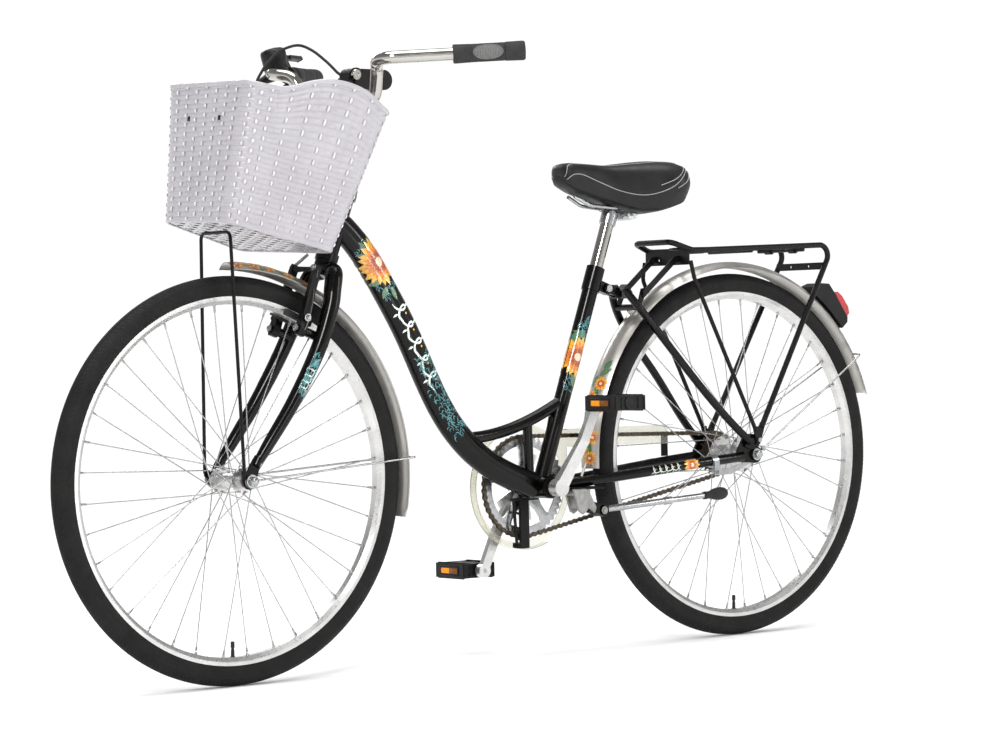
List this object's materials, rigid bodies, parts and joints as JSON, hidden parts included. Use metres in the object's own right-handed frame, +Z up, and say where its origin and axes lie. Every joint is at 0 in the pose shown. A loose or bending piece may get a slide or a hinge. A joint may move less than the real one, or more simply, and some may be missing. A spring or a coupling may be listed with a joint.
{
  "type": "bicycle",
  "caption": "Upright step-through city bicycle with a woven-look front basket, swept handlebar, mudguards, rear rack, chain guard and a folded side stand.",
  "frame": {"origin": "on the ground below the middle of the bicycle's length, in its middle plane", "axes": "+X towards the rear of the bicycle, +Y towards the rider's right, +Z up"},
  "size_m": [1.8665, 0.6524, 1.1236],
  "materials": {
    "frame_paint": "gloss",
    "black_metal": "satin",
    "chrome": "polished",
    "bright_steel": "satin",
    "silver_alloy": "satin",
    "silver_guard": "gloss",
    "grey_cast": "satin",
    "drive_steel": "satin",
    "tyre_rubber": "matt",
    "black_rubber": "matt",
    "black_plastic": "satin",
    "saddle_skin": "satin",
    "basket_plastic": "gloss",
    "guard_plastic": "gloss",
    "red_lens": "gloss"
  },
  "bodies": {
    "frame": {"frame": "frame_paint", "seat_stays": "frame_paint", "headset_cups": "frame_paint", "seatpost": "chrome", "frame_bolts": "bright_steel", "saddle_clamp": "bright_steel", "saddle_rails": "bright_steel", "saddle_base": "black_plastic", "saddle_cover": "saddle_skin", "bottom_bracket_cups": "black_metal", "chain": "drive_steel", "chain_guard": "guard_plastic", "chain_guard_bracket": "black_metal", "rear_mudguard": "silver_guard", "rear_mudguard_stay": "bright_steel", "rear_rack": "black_metal", "rack_struts": "black_metal", "rear_light_housing": "black_plastic", "rear_light_lens": "red_lens", "kickstand_bracket": "grey_cast", "rear_axle": "chrome", "coaster_brake_arm": "grey_cast"},
    "steering": {"fork": "frame_paint", "headset_locknut": "frame_paint", "stem": "black_metal", "handlebar": "chrome", "handlebar_grips": "black_rubber", "lever_bracket": "black_plastic", "brake_cable": "black_rubber", "brake_noodle": "chrome", "front_mudguard": "silver_guard", "front_mudguard_stay": "bright_steel", "basket": "basket_plastic", "basket_bracket": "black_metal", "basket_supports": "black_metal", "front_axle": "chrome"},
    "front_wheel": {"front_tyre": "tyre_rubber", "front_rim": "silver_alloy", "front_spokes": "bright_steel", "front_hub": "silver_alloy"},
    "rear_wheel": {"rear_tyre": "tyre_rubber", "rear_rim": "silver_alloy", "rear_spokes": "bright_steel", "rear_hub": "silver_alloy", "rear_sprocket": "drive_steel"},
    "cranks": {"crank_spindle": "bright_steel", "left_crank": "silver_alloy", "right_crank": "silver_alloy", "chainring": "drive_steel", "pedal_spindles": "bright_steel"},
    "left_pedal_body": {"left_pedal": "black_plastic"},
    "right_pedal_body": {"right_pedal": "black_plastic"},
    "kickstand": {"kickstand_leg": "silver_alloy", "kickstand_foot": "black_rubber"},
    "clamp": {"luggage_clamp": "black_metal"},
    "lever": {"brake_lever": "black_plastic"},
    "left_brake": {"left_brake_arm": "black_plastic", "left_brake_pad": "black_rubber"},
    "right_brake": {"right_brake_arm": "black_plastic", "right_brake_pad": "black_rubber"}
  },
  "joints": [
    {"name": "steering", "type": "hinge", "parent": "frame", "child": "steering", "pos_m": [-0.386, 0, 0.73], "axis": [0.3584, 0, 0.9336], "range_deg": [-60, 60]},
    {"name": "front_wheel_spin", "type": "hinge", "parent": "steering", "child": "front_wheel", "pos_m": [-0.594, 0, 0.35], "axis": [0, 1, 0], "continuous": true},
    {"name": "rear_wheel_spin", "type": "hinge", "parent": "frame", "child": "rear_wheel", "pos_m": [0.566, 0, 0.35], "axis": [0, 1, 0], "continuous": true, "deforming": ["chain"]},
    {"name": "crank_spin", "type": "hinge", "parent": "frame", "child": "cranks", "pos_m": [0.0817, 0, 0.308], "axis": [0, 1, 0], "continuous": true},
    {"name": "left_pedal_spin", "type": "hinge", "parent": "cranks", "child": "left_pedal_body", "pos_m": [0.15489, -0.1345, 0.46144], "axis": [0, 1, 0], "continuous": true},
    {"name": "right_pedal_spin", "type": "hinge", "parent": "cranks", "child": "right_pedal_body", "pos_m": [0.00851, 0.1345, 0.15456], "axis": [0, 1, 0], "continuous": true},
    {"name": "kickstand_swing", "type": "hinge", "parent": "frame", "child": "kickstand", "pos_m": [0.181, -0.054, 0.262], "axis": [0, 0.898, -0.44], "range_deg": [0, 106.6]},
    {"name": "luggage_clamp_lift", "type": "hinge", "parent": "frame", "child": "clamp", "pos_m": [0.706, 0, 0.745], "axis": [0, 1, 0], "range_deg": [0, 70], "stiffness_Nm_per_rad": 0.6, "springref_deg": -34.38},
    {"name": "brake_lever_pull", "type": "hinge", "parent": "steering", "child": "lever", "pos_m": [-0.30661, 0.24363, 1.10315], "axis": [-0.5096, 0.7496, -0.4224], "range_deg": [0, 8], "stiffness_Nm_per_rad": 2, "springref_deg": -11.46},
    {"name": "left_brake_arm_swing", "type": "hinge", "parent": "steering", "child": "left_brake", "pos_m": [-0.47229, -0.04, 0.60567], "axis": [-0.9336, 0, 0.3584], "range_deg": [0, 2.6]},
    {"name": "right_brake_arm_swing", "type": "hinge", "parent": "steering", "child": "right_brake", "pos_m": [-0.47229, 0.04, 0.60567], "axis": [-0.9336, 0, 0.3584], "range_deg": [-2.6, 0]}
  ],
  "couplings": [
    {"joint": "crank_spin", "follows": "rear_wheel_spin", "ratio": 0.43478},
    {"joint": "left_brake_arm_swing", "follows": "brake_lever_pull", "ratio": 0.325},
    {"joint": "right_brake_arm_swing", "follows": "brake_lever_pull", "ratio": -0.325}
  ]
}
